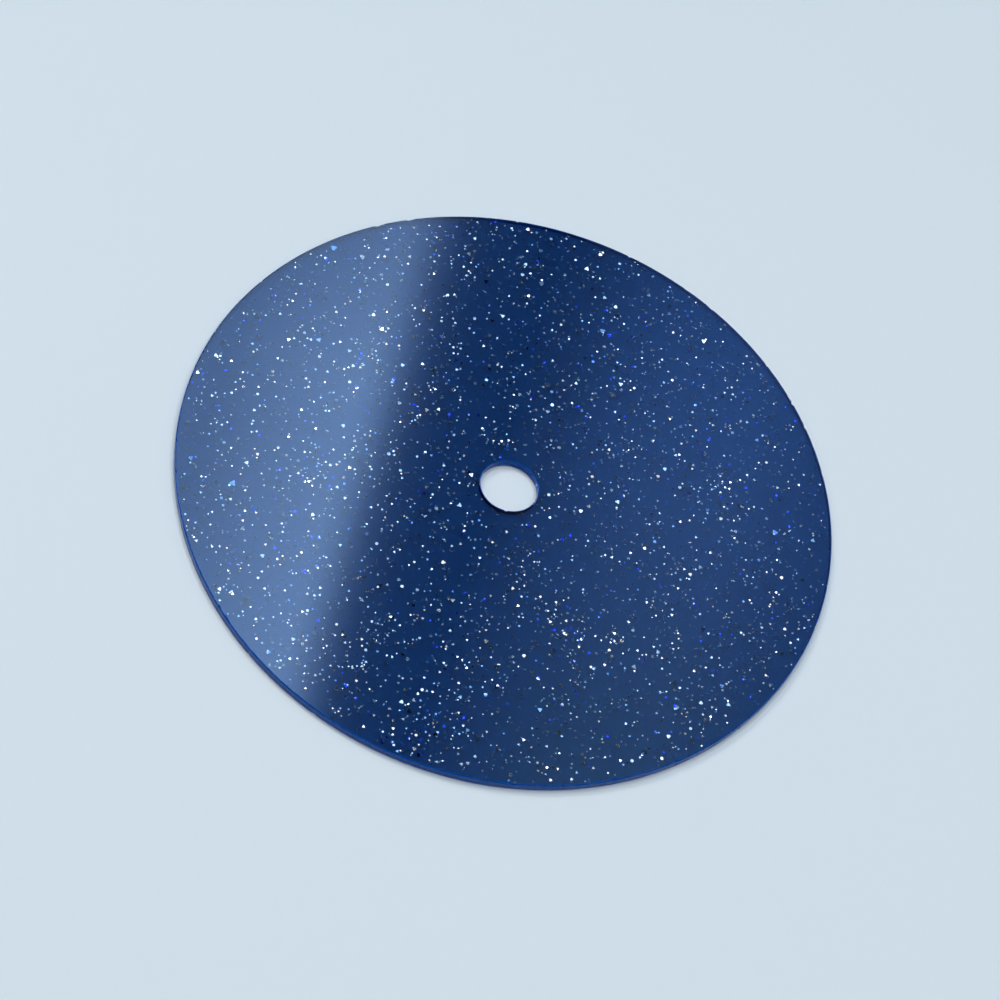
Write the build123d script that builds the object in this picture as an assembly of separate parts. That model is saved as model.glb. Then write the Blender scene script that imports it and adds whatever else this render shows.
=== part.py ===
from build123d import *
import os
import random
from math import asin, cos, degrees, hypot, pi, radians, sin, sqrt

# A plain watch dial: one polished slice of blue aventurine glass, with a bore for the hands.
# The glass holds thin metal crystals that grew in it as the melt cooled, and they glitter.
# Sizes are in millimetres. The origin is the centre of the back face, and +Z points out of the
# front face, towards the hands. The dial is round and plain, so it has no top of its own.

# The slice
dial_diameter = 28.5
dial_thickness = 0.40
rim_chamfer = 0.05

# The bore, which the pipes of the hands pass through
bore_diameter = 2.5
bore_chamfer = 0.05

# The crystals, as flat plates: how wide, how thick and how far apart on average
large_width = 0.26
large_thickness = 0.030
large_spacing = 4.2
medium_width = 0.19
medium_thickness = 0.024
medium_spacing = 2.6
small_width = 0.13
small_thickness = 0.018
small_spacing = 1.9

# The least glass between a crystal and a face, the rim, the bore or another crystal
glass_skin = 0.02

# How the crystals differ: in width, in how blunt their corners are, and in how they lean
width_spread_share = 0.15
bluntest_corner_share = 0.5
largest_tilt_degrees = 50
tries_for_a_place = 40

# Sizes that follow from those
dial_radius = dial_diameter / 2
bore_radius = bore_diameter / 2

# One row for each size of crystal: its node, width, thickness, spacing and random seed
CRYSTAL_SIZES = (
    ("large_crystals", large_width, large_thickness, large_spacing, 11),
    ("medium_crystals", medium_width, medium_thickness, medium_spacing, 23),
    ("small_crystals", small_width, small_thickness, small_spacing, 37),
)


def plain_slice():
    """The disc with its bore, before any crystal, turned from half of its section."""
    outline = Polyline(
        (bore_radius + bore_chamfer, 0),
        (dial_radius - rim_chamfer, 0),
        (dial_radius, rim_chamfer),
        (dial_radius, dial_thickness - rim_chamfer),
        (dial_radius - rim_chamfer, dial_thickness),
        (bore_radius + bore_chamfer, dial_thickness),
        (bore_radius, dial_thickness - bore_chamfer),
        (bore_radius, bore_chamfer),
        close=True,
    )
    return revolve(Plane.XZ * make_face(outline), Axis.Z)


def plate(width, thickness, blunt_share):
    """A crystal's shape: a thin triangle whose corners are cut off square, about its centre."""
    reach = width / 2
    half_corner = radians(60) * blunt_share / 2
    corners = []
    for point in range(3):
        middle = radians(120) * point
        for side in (-1, 1):
            turn = middle + side * half_corner
            corners.append((reach * cos(turn), reach * sin(turn)))
    return extrude(make_face(Polyline(*corners, close=True)), amount=thickness / 2, both=True)


def steepest_tilt(width, thickness):
    """How far a crystal in the middle of the slice can lean, in degrees, and stay sealed in."""
    room = dial_thickness / 2 - glass_skin - thickness / 2
    return min(largest_tilt_degrees, degrees(asin(min(1, room / (width / 2)))))


def free_place(rng, reach, taken):
    """A random point of the slice that is clear of its edges and of the crystals set before."""
    nearest = bore_radius + bore_chamfer + glass_skin + reach
    furthest = dial_radius - rim_chamfer - glass_skin - reach
    for _ in range(tries_for_a_place):
        radius = sqrt(rng.uniform(nearest**2, furthest**2))
        angle = rng.uniform(0, 2 * pi)
        x = radius * cos(angle)
        y = radius * sin(angle)
        if all(hypot(x - ox, y - oy) > reach + other + glass_skin for ox, oy, other in taken):
            return x, y
    return None


def crystals(width, thickness, spacing, seed, taken):
    """One size of crystal, strewn through the slice, each fully inside the glass."""
    rng = random.Random(seed)
    count = round(pi * (dial_radius**2 - bore_radius**2) / spacing**2)
    grown = []
    for _ in range(count):
        own_width = width * rng.uniform(1 - width_spread_share, 1 + width_spread_share)
        blunt_share = rng.uniform(bluntest_corner_share / 4, bluntest_corner_share)
        tilt = rng.uniform(0, steepest_tilt(own_width, thickness))
        lean = rng.uniform(0, 360)
        spin = rng.uniform(0, 360)
        depth_share = rng.uniform(0, 1)
        reach = (own_width + thickness) / 2
        place = free_place(rng, reach, taken)
        if place is None:
            continue
        half_height = (own_width * sin(radians(tilt)) + thickness * cos(radians(tilt))) / 2
        lowest = glass_skin + half_height
        highest = dial_thickness - glass_skin - half_height
        x, y = place
        seat = Pos(x, y, lowest + depth_share * (highest - lowest))
        turned = Rot(0, 0, lean) * Rot(tilt, 0, 0) * Rot(0, 0, spin)
        grown.append(seat * turned * plate(own_width, thickness, blunt_share))
        taken.append((x, y, reach))
    return grown


os.makedirs("parts", exist_ok=True)

set_crystals = []
taken_places = []
for node, width, thickness, spacing, seed in CRYSTAL_SIZES:
    group = crystals(width, thickness, spacing, seed, taken_places)
    export_step(Compound(group), f"parts/{node}.step")
    print(f"{node}: {len(group)} crystals")
    set_crystals.extend(group)

glass_slice = plain_slice() - set_crystals
export_step(glass_slice, "parts/glass_slice.step")
print(f"glass_slice: {len(glass_slice.solids())} solid, {glass_slice.volume:.4f} mm3")
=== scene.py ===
import math
import random

import bpy
import numpy as np
from mathutils import Euler, Matrix, Vector


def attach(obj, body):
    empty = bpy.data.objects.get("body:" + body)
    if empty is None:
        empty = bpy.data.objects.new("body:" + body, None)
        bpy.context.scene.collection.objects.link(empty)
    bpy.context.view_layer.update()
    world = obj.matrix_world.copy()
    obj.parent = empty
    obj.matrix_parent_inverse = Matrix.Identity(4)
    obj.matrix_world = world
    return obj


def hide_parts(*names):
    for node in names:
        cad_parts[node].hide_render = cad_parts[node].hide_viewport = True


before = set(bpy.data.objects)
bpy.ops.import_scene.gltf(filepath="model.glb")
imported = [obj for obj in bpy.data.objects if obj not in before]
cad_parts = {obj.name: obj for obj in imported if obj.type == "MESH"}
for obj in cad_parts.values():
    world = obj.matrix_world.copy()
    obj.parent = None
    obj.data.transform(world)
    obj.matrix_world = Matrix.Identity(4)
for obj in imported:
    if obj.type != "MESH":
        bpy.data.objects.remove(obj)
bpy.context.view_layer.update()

MM = 0.001

# The glass slice
# The dial itself: one slice sawn from a block of blue aventurine glass, cored for the hands and
# polished on both faces. The rim, the bore and their small flats are only ground, so they stay
# matt, with a few chips that the grinding wheel left in the edges.

slice_radius = 14.25
slice_thickness = 0.40
bore_radius = 1.25
ground_flat = 0.05
face_margin = 0.15
turns_round = 1440
flat_steps = 3
# A face whose normal is this near to Z is one of the two polished faces.
level = 0.999


def linear(hex_colour):
    """An sRGB hex colour as linear red, green, blue and alpha."""
    channels = [int(hex_colour[i:i + 2], 16) / 255 for i in (1, 3, 5)]
    return tuple(
        c / 12.92 if c <= 0.04045 else ((c + 0.055) / 1.055) ** 2.4 for c in channels
    ) + (1.0,)


def add_node(tree, kind, sockets=(), **settings):
    """A node with its settings, and each of its sockets set to a value or linked to an output."""
    node = tree.nodes.new(kind)
    for name, value in settings.items():
        setattr(node, name, value)
    for name, value in dict(sockets).items():
        if isinstance(value, bpy.types.NodeSocket):
            tree.links.new(value, node.inputs[name])
        else:
            node.inputs[name].default_value = value
    return node


def select_faces(piece, wanted):
    """Leaves edit mode's face selection on the faces that a test picks."""
    bpy.ops.object.mode_set(mode="OBJECT")
    for vertex in piece.data.vertices:
        vertex.select = False
    for edge in piece.data.edges:
        edge.select = False
    for face in piece.data.polygons:
        face.select = wanted(face)
    bpy.ops.object.mode_set(mode="EDIT")


bpy.ops.object.select_all(action="DESELECT")
bpy.ops.mesh.primitive_cylinder_add(
    vertices=turns_round, radius=slice_radius, depth=slice_thickness,
    end_fill_type="NGON", location=(0, 0, slice_thickness / 2),
)
glass = bpy.context.object
glass.name = "polished_glass_slice"
bpy.ops.object.transform_apply(location=True, rotation=True, scale=True)

# Core the bore: inset both round faces to its radius and bridge them into a wall.
bpy.ops.object.mode_set(mode="EDIT")
bpy.ops.mesh.select_mode(type="FACE")
select_faces(glass, lambda face: abs(face.normal.z) > level)
bpy.ops.mesh.inset(thickness=slice_radius - bore_radius, use_individual=True)
select_faces(glass, lambda face: len(face.vertices) > 4)
bpy.ops.mesh.bridge_edge_loops()

# Grind the four round edges, whose ends lie at one height and one radius.
bpy.ops.mesh.select_mode(type="EDGE")
bpy.ops.object.mode_set(mode="OBJECT")
for edge in glass.data.edges:
    a, b = (glass.data.vertices[i].co for i in edge.vertices)
    edge.select = abs(a.z - b.z) < 1e-4 and abs(a.xy.length - b.xy.length) < 1e-3
bpy.ops.object.mode_set(mode="EDIT")
bpy.ops.mesh.bevel(offset=ground_flat, segments=flat_steps, profile=0.5, affect="EDGES")

# Inset both faces a little, so that a chip bends only their margin.
bpy.ops.mesh.select_mode(type="FACE")
select_faces(glass, lambda face: abs(face.normal.z) > level)
bpy.ops.mesh.inset(thickness=face_margin, use_boundary=True, use_even_offset=True)
bpy.ops.mesh.select_all(action="SELECT")
bpy.ops.mesh.normals_make_consistent(inside=False)
bpy.ops.object.mode_set(mode="OBJECT")

# Chips: short bites out of the edges, at random places, most of them tiny.
rim_chips, bore_chips = 70, 8
half_width_least, half_width_spread = 0.05, 0.15
bite_least, bite_spread = 0.010, 0.04
chip_reach = 1.5 * ground_flat
chip_drop = 2.5 * ground_flat
chip_fall = 0.6
chip_luck = random.Random(5)
chips = []
for edge_radius, inward, how_many in ((slice_radius, 1, rim_chips), (bore_radius, -1, bore_chips)):
    for _ in range(how_many):
        chips.append((
            edge_radius, inward, chip_luck.uniform(-math.pi, math.pi),
            chip_luck.choice((0.0, slice_thickness)),
            half_width_least + half_width_spread * chip_luck.random() ** 3,
            bite_least + bite_spread * chip_luck.random() ** 2,
        ))
for vertex in glass.data.vertices:
    radius = vertex.co.xy.length
    angle = math.atan2(vertex.co.y, vertex.co.x)
    on_face = min(vertex.co.z, slice_thickness - vertex.co.z) < 1e-4
    for edge_radius, inward, chip_angle, height, half_width, depth in chips:
        if abs(radius - edge_radius) > chip_reach or abs(vertex.co.z - height) > chip_drop:
            continue
        arc = abs((angle - chip_angle + math.pi) % (2 * math.pi) - math.pi) * edge_radius
        if arc < half_width:
            share = (1 - (arc / half_width) ** 2) * (1 - abs(vertex.co.z - height) / chip_drop)
            bite = depth * share
            vertex.co.xy *= (vertex.co.xy.length - inward * bite) / vertex.co.xy.length
            if not on_face:
                vertex.co.z += chip_fall * bite * (1 if height == 0 else -1)

bpy.ops.transform.resize(value=(MM, MM, MM))
bpy.ops.object.transform_apply(location=True, rotation=True, scale=True)
bpy.ops.object.shade_smooth_by_angle(angle=math.radians(9))

# Which faces are ground, and how much light goes through rather than being spread by them.
rim_clear = 0.6
bore_wall_clear = 0.5
bore_flat_clear = 0.3
wall_slope = 0.05
ground_shares, clear_shares = [], []
for face in glass.data.polygons:
    radius = face.center.xy.length / MM
    polished = abs(face.normal.z) > level
    if not polished and radius > slice_radius - 2 * ground_flat:
        ground_shares.append(1.0)
        clear_shares.append(rim_clear)
    elif not polished and radius < bore_radius + 2 * ground_flat:
        on_wall = abs(face.normal.z) < wall_slope
        ground_shares.append(1.0)
        clear_shares.append(bore_wall_clear if on_wall else bore_flat_clear)
    else:
        ground_shares.append(0.0)
        clear_shares.append(1.0)
ground = glass.data.attributes.new("ground", "FLOAT", "FACE")
ground.data.foreach_set("value", ground_shares)
clear = glass.data.attributes.new("clear", "FLOAT", "FACE")
clear.data.foreach_set("value", clear_shares)

# Blue aventurine glass: clear to the eye only for a few tenths of a millimetre, because cobalt
# and the crystals in it drink the red and green. So a crystal near the face is white, a deep
# one is blue, and the body behind them is navy. Polished, it mirrors 4 % of what is over it.
aventurine = bpy.data.materials.new("blue_aventurine_glass_polished")
aventurine.use_nodes = True
tree = aventurine.node_tree
tree.nodes.clear()
place = add_node(tree, "ShaderNodeTexCoord")
is_ground = add_node(tree, "ShaderNodeAttribute", attribute_name="ground")
clearness = add_node(tree, "ShaderNodeAttribute", attribute_name="clear")
# Most of a noise pattern's values lie between these two.
noise_low, noise_high = 0.3, 0.7
# Lapping leaves faint clouds in the gloss, some 3 mm across.
lap_clouds = add_node(tree, "ShaderNodeTexNoise", {
    "Vector": place.outputs["Object"], "Scale": 1 / (3.0 * MM), "Detail": 3.0,
})
face_gloss = add_node(tree, "ShaderNodeMapRange", {
    "Value": lap_clouds.outputs["Fac"], "From Min": noise_low, "From Max": noise_high,
    "To Min": 0.015, "To Max": 0.04,
})
# The wheel's grit on the rim and in the bore is about 0.04 mm, drawn twice as coarse to show.
grit = add_node(tree, "ShaderNodeTexNoise", {
    "Vector": place.outputs["Object"], "Scale": 1 / (0.08 * MM), "Detail": 4.0,
})
ground_gloss = add_node(tree, "ShaderNodeMapRange", {
    "Value": grit.outputs["Fac"], "From Min": noise_low, "From Max": noise_high,
    "To Min": 0.12, "To Max": 0.20,
})
roughness = add_node(tree, "ShaderNodeMix", {
    "Factor": is_ground.outputs["Fac"],
    "A": face_gloss.outputs["Result"], "B": ground_gloss.outputs["Result"],
})
# In a colour mix, socket 0 is the share, 6 and 7 are the two colours, and output 2 the result.
ground_colour = add_node(tree, "ShaderNodeMix", {
    0: grit.outputs["Fac"], 6: linear("#00479f"), 7: linear("#0076e6"),
}, data_type="RGBA")
colour = add_node(tree, "ShaderNodeMix", {
    0: is_ground.outputs["Fac"], 6: linear("#f4f8ff"), 7: ground_colour.outputs[2],
}, data_type="RGBA")
# Painted shade: on the ground rim and bore, the mirror image of the room is tinted blue and made
# much weaker. This stands in for the shaded floor beside the rim.
painted_shade_mirror_tint = add_node(tree, "ShaderNodeMix", {
    0: is_ground.outputs["Fac"], 6: linear("#ffffff"), 7: linear("#2060d0"),
}, data_type="RGBA")
bump_share = add_node(tree, "ShaderNodeMix", {
    0: is_ground.outputs["Fac"], 2: 0.0, 3: 0.6,
})
grit_bump = add_node(tree, "ShaderNodeBump", {
    "Strength": bump_share.outputs[0], "Distance": 0.004 * MM, "Height": grit.outputs["Fac"],
})
shader = add_node(tree, "ShaderNodeBsdfPrincipled", {
    "Base Color": colour.outputs[2], "Roughness": roughness.outputs["Result"],
    "Transmission Weight": clearness.outputs["Fac"], "IOR": 1.52,
    "Specular Tint": painted_shade_mirror_tint.outputs[2], "Normal": grit_bump.outputs["Normal"],
})
# What each millimetre of the glass takes away, from the depth at which crystals turn blue.
absorption = add_node(tree, "ShaderNodeVolumeAbsorption", {
    "Color": (0.222, 0.5, 0.73, 1.0), "Density": 6.0 / MM,
})
add_node(tree, "ShaderNodeOutputMaterial", {
    "Surface": shader.outputs["BSDF"], "Volume": absorption.outputs["Volume"],
})
glass.data.materials.clear()
glass.data.materials.append(aventurine)

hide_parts("glass_slice")
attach(glass, "root")

# The larger crystals
# Flat plates of cobalt and manganese metal that grew in the glass as the melt cooled, from
# about 0.13 to 0.26 mm wide. Each is sealed where it grew, so the polishing never touched it.

crystal = bpy.data.materials.new("bright_metal_crystal")
crystal.use_nodes = True
tree = crystal.node_tree
tree.nodes.clear()
place = add_node(tree, "ShaderNodeTexCoord")
# Each crystal has its own tone: half are silver, most others cream, and a few peach or blue.
cells = add_node(tree, "ShaderNodeTexVoronoi", {
    "Vector": place.outputs["Object"], "Scale": 1 / (0.3 * MM),
}, feature="F1")
own = add_node(tree, "ShaderNodeSeparateColor", {"Color": cells.outputs["Color"]})
tone = add_node(tree, "ShaderNodeValToRGB", {"Fac": own.outputs["Red"]})
tone.color_ramp.interpolation = "CONSTANT"
tone.color_ramp.elements[0].color = linear("#fff6ea")
tone.color_ramp.elements[1].position = 0.50
tone.color_ramp.elements[1].color = linear("#ffe9d0")
for share, shade in ((0.85, "#f2c4a0"), (0.88, "#6fa8ff"), (0.92, "#2448ff")):
    tone.color_ramp.elements.new(share).color = linear(shade)
# Growth steps leave each face a little uneven, some 0.06 mm across.
growth = add_node(tree, "ShaderNodeTexNoise", {
    "Vector": place.outputs["Object"], "Scale": 1 / (0.06 * MM), "Detail": 2.0,
})
crystal_gloss = add_node(tree, "ShaderNodeMapRange", {
    "Value": growth.outputs["Fac"], "From Min": noise_low, "From Max": noise_high,
    "To Min": 0.06, "To Max": 0.16,
})
shader = add_node(tree, "ShaderNodeBsdfPrincipled", {
    "Base Color": tone.outputs["Color"], "Metallic": 0.82,
    "Roughness": crystal_gloss.outputs["Result"],
})
add_node(tree, "ShaderNodeOutputMaterial", {"Surface": shader.outputs["BSDF"]})

larger_nodes = ("large_crystals", "medium_crystals", "small_crystals")
for node in larger_nodes:
    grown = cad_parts[node]
    grown.data.materials.clear()
    grown.data.materials.append(crystal)

# The fine crystals
# The same metal where it had less time to grow: thousands of plates, 0.04 to 0.21 mm wide. They
# settled nearly level in the melt, and some lie in clumps and strings along its flow.

# Their shapes, one unit wide: a sharp triangle, and three with blunter and blunter corners.
bpy.ops.object.select_all(action="DESELECT")
unit_reach = 0.62
unit_plates = []
for blunt in (0.0, 0.16, 0.26, 0.36):
    bpy.ops.mesh.primitive_circle_add(
        vertices=3, radius=unit_reach, fill_type="NGON", location=(0, 0, -0.5),
    )
    pattern = bpy.context.object
    bpy.ops.object.transform_apply(location=True, rotation=True, scale=True)
    bpy.ops.object.mode_set(mode="EDIT")
    bpy.ops.mesh.select_all(action="SELECT")
    if blunt:
        bpy.ops.mesh.bevel(offset=blunt, segments=1, affect="VERTICES")
    bpy.ops.mesh.select_all(action="SELECT")
    bpy.ops.mesh.extrude_region_move(TRANSFORM_OT_translate={"value": (0, 0, 1)})
    bpy.ops.mesh.select_all(action="SELECT")
    bpy.ops.mesh.normals_make_consistent(inside=False)
    bpy.ops.object.mode_set(mode="OBJECT")
    corners = np.array([v.co for v in pattern.data.vertices])
    faces = [tuple(face.vertices) for face in pattern.data.polygons]
    unit_plates.append((corners, faces))
    bpy.data.objects.remove(pattern)

# The places taken so far, by cells of a grid that are wider than any two crystals' reach.
cell = 0.3
taken = {}


def set_down(x, y, z, reach):
    """Notes a crystal's place in a grid of cells, in millimetres."""
    taken.setdefault((math.floor(x / cell), math.floor(y / cell)), []).append((x, y, z, reach))


def is_free(x, y, z, reach):
    """Whether a crystal would be clear of the edges and of those set down before."""
    out = math.hypot(x, y)
    if out + reach > slice_radius - 2 * ground_flat or out - reach < bore_radius + 2 * ground_flat:
        return False
    column, row = math.floor(x / cell), math.floor(y / cell)
    for i in (column - 1, column, column + 1):
        for j in (row - 1, row, row + 1):
            for ox, oy, oz, other in taken.get((i, j), ()):
                if (x - ox) ** 2 + (y - oy) ** 2 + (z - oz) ** 2 < (reach + other) ** 2:
                    return False
    return True


corner_reach = 0.03
for node in larger_nodes:
    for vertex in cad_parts[node].data.vertices:
        x, y, z = vertex.co / MM
        set_down(x, y, z, corner_reach)

# How the fine crystals differ and gather. Lengths are in millimetres.
how_many_clumps = 170
clumps_from, clumps_to = 1.5, 14.0
clump_length_range = (0.3, 1.0)
clump_breadth_range = (0.1, 0.4)
width_scatter = 0.42
thickness_share = 0.14
usual_tilt = math.radians(11)
largest_tilt = math.radians(45)
skin = 0.010
usual_depth = 0.10
# Only those in the upper part of the glass can be seen, so they are placed there.
deepest = 0.6 * slice_thickness


def strew(name, plates, how_many, narrowest, usual, widest, seed, clump_share):
    """One mesh of many plates, each with its own place, depth, tilt and size."""
    luck = random.Random(seed)
    clumps = []
    for _ in range(how_many_clumps):
        radius = math.sqrt(luck.uniform(clumps_from ** 2, clumps_to ** 2))
        angle = luck.uniform(0, 2 * math.pi)
        clumps.append((
            radius * math.cos(angle), radius * math.sin(angle), luck.uniform(0, math.pi),
            luck.uniform(*clump_length_range), luck.uniform(*clump_breadth_range),
        ))
    points, faces = [], []
    placed = 0
    while placed < how_many:
        width = min(widest, max(narrowest, usual * math.exp(luck.gauss(0, width_scatter))))
        thickness = thickness_share * width
        tilt = min(largest_tilt, abs(luck.gauss(0, usual_tilt)))
        lean, spin = luck.uniform(0, 2 * math.pi), luck.uniform(0, 2 * math.pi)
        half_height = 0.5 * (width * math.sin(tilt) + thickness * math.cos(tilt))
        depth = skin + half_height + luck.expovariate(1 / usual_depth)
        while depth > deepest:
            depth = luck.uniform(skin + half_height, deepest)
        z = slice_thickness - depth
        if luck.random() < clump_share:
            cx, cy, along, long_spread, short_spread = luck.choice(clumps)
            u, v = luck.gauss(0, long_spread), luck.gauss(0, short_spread)
            x = cx + u * math.cos(along) - v * math.sin(along)
            y = cy + u * math.sin(along) + v * math.cos(along)
        else:
            radius = math.sqrt(luck.uniform(bore_radius ** 2, slice_radius ** 2))
            angle = luck.uniform(0, 2 * math.pi)
            x, y = radius * math.cos(angle), radius * math.sin(angle)
        plate, plate_faces = luck.choice(plates)
        if not is_free(x, y, z, width / 2):
            continue
        set_down(x, y, z, width / 2)
        turned = (
            Matrix.Translation((x, y, z))
            @ Matrix.Rotation(lean, 4, "Z") @ Matrix.Rotation(tilt, 4, "X")
            @ Matrix.Rotation(spin, 4, "Z") @ Matrix.Diagonal((width, width, thickness, 1))
        )
        matrix = np.array(turned)
        first = len(points)
        points.extend((plate @ matrix[:3, :3].T + matrix[:3, 3]) * MM)
        faces.extend(tuple(first + i for i in face) for face in plate_faces)
        placed += 1
    mesh = bpy.data.meshes.new(name)
    mesh.from_pydata(points, [], faces)
    mesh.update()
    mesh.materials.append(crystal)
    piece = bpy.data.objects.new(name, mesh)
    bpy.context.scene.collection.objects.link(piece)
    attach(piece, "root")


# The blunter plates first, then the smallest, which are sharp.
strew("fine_crystals", unit_plates[1:], 1650, 0.080, 0.116, 0.21, seed=101, clump_share=0.25)
strew("dust_crystals", unit_plates[:1], 5800, 0.040, 0.070, 0.115, seed=202, clump_share=0.25)

# The floor
# A plain pale surface, matt like painted board, which isn't part of the dial. It lies just
# under the back face, so that the dial rests on it.

bpy.ops.object.select_all(action="DESELECT")
bpy.ops.mesh.primitive_plane_add(size=6.0, location=(0, 0, -0.02 * MM))
floor = bpy.context.object
floor.name = "pale_floor"
pale = bpy.data.materials.new("pale_matt_board")
pale.use_nodes = True
board = pale.node_tree.nodes["Principled BSDF"]
board.inputs["Base Color"].default_value = linear("#cedade")
board.inputs["Roughness"].default_value = 0.8
floor.data.materials.append(pale)

# The window
# A large window behind and left of the dial, as one lit card: bright at the left, a dark
# mullion and curtain in the middle, and a dimmer part of the room at the right. The polished
# face mirrors it.

card_distance = 0.400
card_left, card_right = -0.200, 0.075
card_width = card_right - card_left
card_height = 0.130
towards_card = Vector((0, 0.57339561, 0.81927863))
card_across = Vector((1, 0, 0))
card_down = Vector((0, -0.81927863, 0.57339561))
bpy.ops.mesh.primitive_plane_add(size=1.0)
card = bpy.context.object
card.name = "window_card"
card_place = towards_card * card_distance + card_across * (card_left + card_right) / 2
card_frame = Matrix((card_across, card_down, card_across.cross(card_down))).transposed().to_4x4()
card.matrix_world = (
    Matrix.Translation(card_place) @ card_frame
    @ Matrix.Diagonal((card_width, card_height, 1, 1))
)
lit = bpy.data.materials.new("lit_window_card")
lit.use_nodes = True
tree = lit.node_tree
tree.nodes.clear()
place = add_node(tree, "ShaderNodeTexCoord")
axes = add_node(tree, "ShaderNodeSeparateXYZ", {"Vector": place.outputs["Object"]})
# Across the card in metres from the middle of the face's mirror image; the edge leans a little.
across = add_node(tree, "ShaderNodeMath", {
    0: axes.outputs["X"], 1: card_width, 2: (card_left + card_right) / 2,
}, operation="MULTIPLY_ADD")
edge_lean = -0.11
lean = add_node(tree, "ShaderNodeMath", {
    0: axes.outputs["Y"], 1: edge_lean * card_height, 2: across.outputs[0],
}, operation="MULTIPLY_ADD")
spread = add_node(tree, "ShaderNodeMapRange", {
    "Value": lean.outputs[0], "From Min": card_left, "From Max": card_right,
})
bands = add_node(tree, "ShaderNodeValToRGB", {"Fac": spread.outputs["Result"]})


def on_ramp(metres):
    """A place across the card as a share of the ramp."""
    return (metres - card_left) / card_width


sky = (0.362, 0.57, 0.86)
room_blue = (0.403, 0.855, 1.98)
room_from = 0.010
# Where across the card, in metres, and the share of the light that comes from there.
stops = (
    (-0.052, 0.53), (-0.044, 0.70), (-0.036, 0.87), (-0.028, 1.0), (-0.0257, 0.82),
    (-0.0235, 0.58), (-0.0212, 0.29), (-0.018, 0.09), (-0.013, 0.02), (-0.003, 0.0), (0.005, 0.05),
    (0.013, 0.10), (0.023, 0.15), (0.036, 0.165), (0.046, 0.12), (0.054, 0.08),
)
for metres, share in stops[1:-1]:
    bands.color_ramp.elements.new(on_ramp(metres))
bands.color_ramp.elements[0].position = on_ramp(stops[0][0])
bands.color_ramp.elements[-1].position = on_ramp(stops[-1][0])
for element, (metres, share) in zip(bands.color_ramp.elements, stops):
    light = sky if metres < room_from else room_blue
    element.color = tuple(share * c for c in light) + (1.0,)
# The window ends in a soft shade towards its top.
card_strength = 7.0
top_share = 0.55
shade = add_node(tree, "ShaderNodeMapRange", {
    "Value": axes.outputs["Y"], "From Min": -0.045 / card_height, "From Max": -0.008 / card_height,
    "To Min": top_share * card_strength, "To Max": card_strength,
})
# The room at the right is bluer towards its top, and fades downwards.
height = add_node(tree, "ShaderNodeMapRange", {
    "Value": axes.outputs["Y"], "From Min": -0.26, "From Max": 0.27,
})
fade = add_node(tree, "ShaderNodeValToRGB", {"Fac": height.outputs["Result"]})
fade.color_ramp.elements[0].color = (1.0, 1.0, 1.0, 1)
fade.color_ramp.elements[1].color = (0.63, 0.51, 0.23, 1)
fade.color_ramp.elements.new(0.49).color = (0.77, 0.667, 0.556, 1)
in_room = add_node(tree, "ShaderNodeMapRange", {
    "Value": lean.outputs[0], "From Min": 0.0, "From Max": 0.012,
})
room_tint = add_node(tree, "ShaderNodeMix", {
    0: in_room.outputs["Result"], 6: (1.0, 1.0, 1.0, 1.0), 7: fade.outputs["Color"],
}, data_type="RGBA")
card_colour = add_node(tree, "ShaderNodeMix", {
    0: 1.0, 6: bands.outputs["Color"], 7: room_tint.outputs[2],
}, data_type="RGBA", blend_type="MULTIPLY")
glow = add_node(tree, "ShaderNodeEmission", {
    "Color": card_colour.outputs[2], "Strength": shade.outputs["Result"],
})
add_node(tree, "ShaderNodeOutputMaterial", {"Surface": glow.outputs["Emission"]})
card.data.materials.append(lit)
card.visible_camera = False

# The studio light
# A dark tent, pale at the foot, with a ring of light overhead, round the opening that a camera
# looks in by. One soft box beside the window gives the shadow.

softbox = bpy.data.lights.new("overhead_softbox", "AREA")
softbox.shape = "RECTANGLE"
softbox.size = 0.14
softbox.size_y = 0.14
softbox.energy = 1.12
softbox.color = linear("#fff4e6")[:3]
softbox_object = bpy.data.objects.new("overhead_softbox", softbox)
bpy.context.scene.collection.objects.link(softbox_object)
softbox_place = Vector((-0.40, 0.22, 0.55))
softbox_object.location = softbox_place
softbox_object.rotation_euler = softbox_place.to_track_quat("Z", "Y").to_euler()

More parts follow.
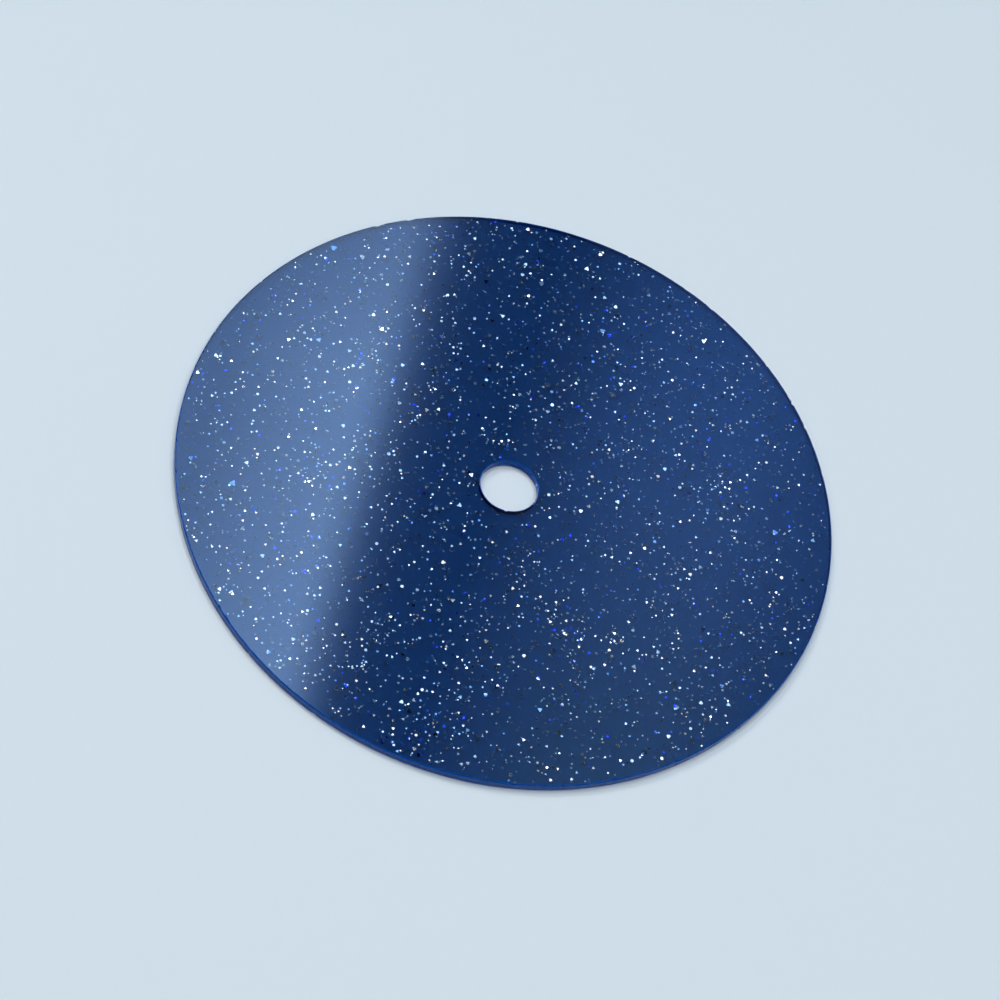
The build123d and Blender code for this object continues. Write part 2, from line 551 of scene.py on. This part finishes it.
# Six dim panels all round, so that some crystals flash from every side.
panel_distance = 0.6
panel_elevation = math.radians(40)
for azimuth in range(0, 360, 60):
    panel = bpy.data.lights.new(f"panel_{azimuth}", "AREA")
    panel.shape = "SQUARE"
    panel.size = 0.12
    panel.energy = 0.112
    panel_object = bpy.data.objects.new(panel.name, panel)
    bpy.context.scene.collection.objects.link(panel_object)
    panel_place = Vector((panel_distance, 0, 0))
    panel_place.rotate(Euler((0, -panel_elevation, math.radians(azimuth))))
    panel_object.location = panel_place
    panel_object.rotation_euler = panel_place.to_track_quat("Z", "Y").to_euler()

room = bpy.data.worlds.new("plain_room")
room.use_nodes = True
bpy.context.scene.world = room
tree = room.node_tree
tree.nodes.clear()
place = add_node(tree, "ShaderNodeTexCoord")
axes = add_node(tree, "ShaderNodeSeparateXYZ", {"Vector": place.outputs["Generated"]})
walls = add_node(tree, "ShaderNodeValToRGB", {"Fac": axes.outputs["Z"]})
pale_foot = (0.084, 0.096, 0.107, 1)
dark_wall = (0.002, 0.0045, 0.014, 1)
ring_of_light = (0.97, 0.985, 1.0, 1)
# Each height is the sine of the elevation.
wall_stops = (
    (0.08, pale_foot), (0.20, dark_wall), (0.875, dark_wall),
    (0.925, ring_of_light), (0.955, ring_of_light), (0.975, dark_wall),
)
for sine, light in wall_stops[1:-1]:
    walls.color_ramp.elements.new(sine)
walls.color_ramp.elements[0].position = wall_stops[0][0]
walls.color_ramp.elements[-1].position = wall_stops[-1][0]
for element, (sine, light) in zip(walls.color_ramp.elements, wall_stops):
    element.color = light
air = add_node(tree, "ShaderNodeBackground", {"Color": walls.outputs["Color"], "Strength": 5.6})
add_node(tree, "ShaderNodeOutputWorld", {"Surface": air.outputs["Background"]})

# The camera
# At the photograph's viewing angle, 55 degrees above the face, from the ellipses of the rim and
# the bore. It is held turned by 22 degrees.

view_right = Vector((0.92542484, 0.31045024, 0.21727749))
view_up = Vector((-0.37893121, 0.7581808, 0.53063454))
view_back = Vector((0, -0.57339561, 0.81927863))
camera_place = Vector((-0.000148, -0.078079, 0.110716))
lens = bpy.data.cameras.new("camera")
lens.lens = 114.78
lens.sensor_width = 36.0
lens.clip_start = 0.01
camera = bpy.data.objects.new("camera", lens)
bpy.context.scene.collection.objects.link(camera)
turned = Matrix((view_right, view_up, view_back)).transposed().to_4x4()
camera.matrix_world = Matrix.Translation(camera_place) @ turned
bpy.context.scene.camera = camera

bpy.context.scene.view_settings.view_transform = "Standard"
